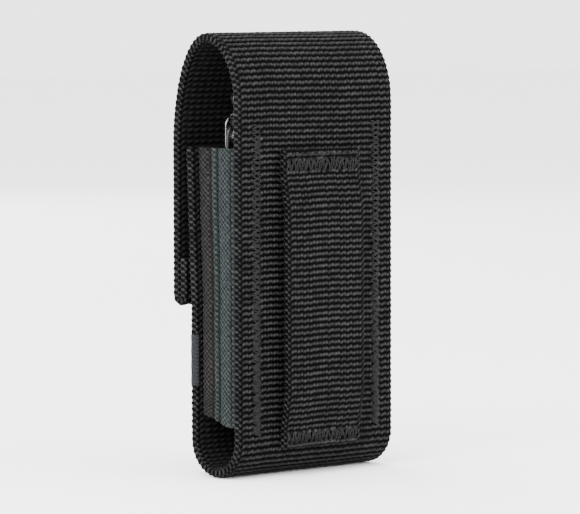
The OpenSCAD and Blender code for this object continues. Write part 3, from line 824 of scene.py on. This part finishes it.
def steel_material(name, tone, rough_low, rough_high, stretch, grain, depth):
    """Metal with directional grinding marks and light handling wear."""
    material, nodes, links, shader = new_material(name)
    lines = object_noise(nodes, links, grain, 3.0, stretch)
    smudge = object_noise(nodes, links, 120.0, 2.0)
    mixed = math_node(nodes, links, "ADD", math_node(nodes, links, "MULTIPLY", lines, 0.7),
                      math_node(nodes, links, "MULTIPLY", smudge, 0.3))
    dark = tuple(c * 0.82 for c in tone)
    links.new(ramp(nodes, links, mixed, [(0.3, dark), (0.7, tone)]), shader.inputs["Base Color"])
    rough = ramp(nodes, links, mixed, [(0.3, rough_high), (0.7, rough_low)])
    links.new(rough, shader.inputs["Roughness"])
    shader.inputs["Metallic"].default_value = 1.0
    bump(nodes, links, shader, lines, 0.25, depth)
    # the bevel softens sharp edges, so that they catch the light
    soft = nodes.new("ShaderNodeBevel")
    soft.inputs["Radius"].default_value = 0.0005
    relief = shader.inputs["Normal"].links[0].from_node
    links.new(soft.outputs["Normal"], relief.inputs["Normal"])
    return material


# dark textiles: colour stops from the lowest to the highest spot of the relief; the near-black low stops
# are painted shade between ribs and yarns, the top stops the yarn's own tone
webbing = woven("ribbed_webbing", [(0.0, 0.0002), (0.35, 0.0010), (0.6, 0.0105), (1.0, 0.032)])
elastic = woven("grey_elastic", [(0.1, (0.0015, 0.002, 0.002)), (0.5, (0.0098, 0.0122, 0.0122)),
                                 (0.95, (0.029, 0.0345, 0.0342))], fibre=3600.0,
                tint=[(0.1, (0.0012, 0.0011, 0.0011)), (0.5, (0.0064, 0.0062, 0.006)),
                      (0.95, (0.02, 0.0194, 0.0188))])
thread = thread_material("bonded_thread", 0.0095)
dark_thread = thread_material("dark_thread", 0.004)
pile = pile_material("hook_and_loop", 0.002, 0.009)
label_cloth = label_material("label_cloth")
polished = steel_material("polished_steel", (0.38, 0.38, 0.377), 0.07, 0.2, (1, 1, 0.08), 900.0, 0.00001)
ground = steel_material("ground_blade_steel", (0.28, 0.28, 0.28), 0.2, 0.38, (0.06, 1, 1), 2600.0,
                        0.00003)
hardware = steel_material("hardware_steel", (0.24, 0.24, 0.245), 0.22, 0.42, (1, 1, 1), 1500.0, 0.00003)
bronze = steel_material("bronze", (0.4, 0.27, 0.13), 0.25, 0.45, (1, 1, 1), 1500.0, 0.00002)


def paint(obj, material):
    obj.data.materials.clear()
    obj.data.materials.append(material)


for piece in (sheath_strip, flap_strip, loop_strip):
    paint(piece, webbing)
for piece in (gusset_right, gusset_left):
    paint(piece, elastic)
for piece in (*seams.values(), front_seams, mouth_thread, bartacks, hem_thread, box_thread):
    paint(piece, thread)
for piece in (gusset_thread_right, gusset_thread_left):
    paint(piece, dark_thread)
for piece in (loop_tape, hook_tape):
    paint(piece, pile)
paint(label_piece, label_cloth)

TOOL_FINISH = {
    "polished_steel": polished,
    "blade_steel": ground,
    "hardware_steel": hardware,
    "washer_brass": bronze,
}
SLOT_OF = {s["node"]: s["material_slot"] for s in frame["record"]["subparts"]}
for node, obj in frame["nodes"].items():
    if SLOT_OF[node] not in TOOL_FINISH:
        continue
    paint(obj, TOOL_FINISH[SLOT_OF[node]])
    edge = obj.modifiers.new("worn_edges", "BEVEL")
    edge.width = 0.00012
    edge.segments = 3
    edge.limit_method = "ANGLE"
    edge.angle_limit = math.radians(35)

# ---- riding and what each piece stands for ----------------------------------------------


def rides(piece, body, node):
    """Puts a piece on a body in place of one CAD node."""
    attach(piece, body)
    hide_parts(node)


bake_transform(sheath_strip)
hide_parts("body_webbing", "crown_webbing")
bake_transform(flap_strip)
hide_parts("flap_webbing")
for side, piece in seams.items():
    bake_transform(piece)
    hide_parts(f"seam_stitching_{side}")
rides(loop_strip, "sheath", "belt_loop")
rides(gusset_right, "sheath", "gusset_right")
rides(gusset_left, "sheath", "gusset_left")
for piece in (gusset_thread_right, gusset_thread_left):
    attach(piece, "sheath")
rides(loop_tape, "sheath", "loop_patch")
rides(label_piece, "sheath", "front_label")
rides(front_seams, "sheath", "front_seam_stitching")
rides(mouth_thread, "sheath", "mouth_stitching")
rides(bartacks, "sheath", "belt_loop_bartacks")
rides(hook_tape, "flap", "hook_patch")
rides(hem_thread, "flap", "flap_hem_stitching")
rides(box_thread, "flap", "hook_patch_stitching")

# ---- camera, floor and light -------------------------------------------------------------

CAMERA_AZIMUTH = 138.0
CAMERA_ELEVATION = 4.05
CAMERA_ROLL = -0.12
CAMERA_DISTANCE = 1.0
CAMERA_LENS = 252.4
CAMERA_TARGET = Vector((-0.0004, 0.0003, 0.0525))
azimuth = math.radians(CAMERA_AZIMUTH)
elevation = math.radians(CAMERA_ELEVATION)
away = Vector((math.sin(azimuth) * math.cos(elevation), -math.cos(azimuth) * math.cos(elevation),
               math.sin(elevation)))
camera_data = bpy.data.cameras.new("camera")
camera_data.lens = CAMERA_LENS
camera_data.sensor_width = 36.0
camera = bpy.data.objects.new("camera", camera_data)
camera.location = CAMERA_TARGET + away * CAMERA_DISTANCE
turn = Matrix.Rotation(math.radians(CAMERA_ROLL), 4, "Z")
camera.rotation_euler = ((-away).to_track_quat("-Z", "Y").to_matrix().to_4x4() @ turn).to_euler()
bpy.context.scene.collection.objects.link(camera)
bpy.context.scene.camera = camera


def floor():
    """Large pale floor under the sheath."""
    size = 3.0
    mesh = bpy.data.meshes.new("floor")
    corners = [(-size, -size, 0), (size, -size, 0), (size, size, 0), (-size, size, 0)]
    mesh.from_pydata(corners, [], [(0, 1, 2, 3)])
    obj = bpy.data.objects.new("floor", mesh)
    bpy.context.scene.collection.objects.link(obj)
    material, _, _, shader = new_material("pale_floor")
    shader.inputs["Base Color"].default_value = (0.95, 0.95, 0.95, 1)
    shader.inputs["Roughness"].default_value = 0.9
    obj.data.materials.append(material)


floor()


def softbox(name, place, size, power):
    """Square area light aimed at the middle of the sheath."""
    data = bpy.data.lights.new(name, "AREA")
    data.energy = power
    data.size = size
    obj = bpy.data.objects.new(name, data)
    obj.location = place
    aim = Vector((0, 0, 0.055)) - Vector(place)
    obj.rotation_euler = aim.to_track_quat("-Z", "Y").to_euler()
    bpy.context.scene.collection.objects.link(obj)


# name, place in metres, size of side in metres, power in watts
softbox("key", (0.75, 0.35, 0.75), 0.6, 14)
softbox("fill", (-0.35, 0.95, 0.45), 0.7, 9)
softbox("top", (0.0, 0.0, 1.2), 0.7, 9)
softbox("front", (-0.3, -1.0, 0.5), 0.8, 9)
softbox("side", (0.9, 0.12, 0.22), 0.25, 7)
world = bpy.data.worlds.new("studio")
world.use_nodes = True
world.node_tree.nodes["Background"].inputs["Color"].default_value = (1, 1, 1, 1)
world.node_tree.nodes["Background"].inputs["Strength"].default_value = 3.2
bpy.context.scene.world = world
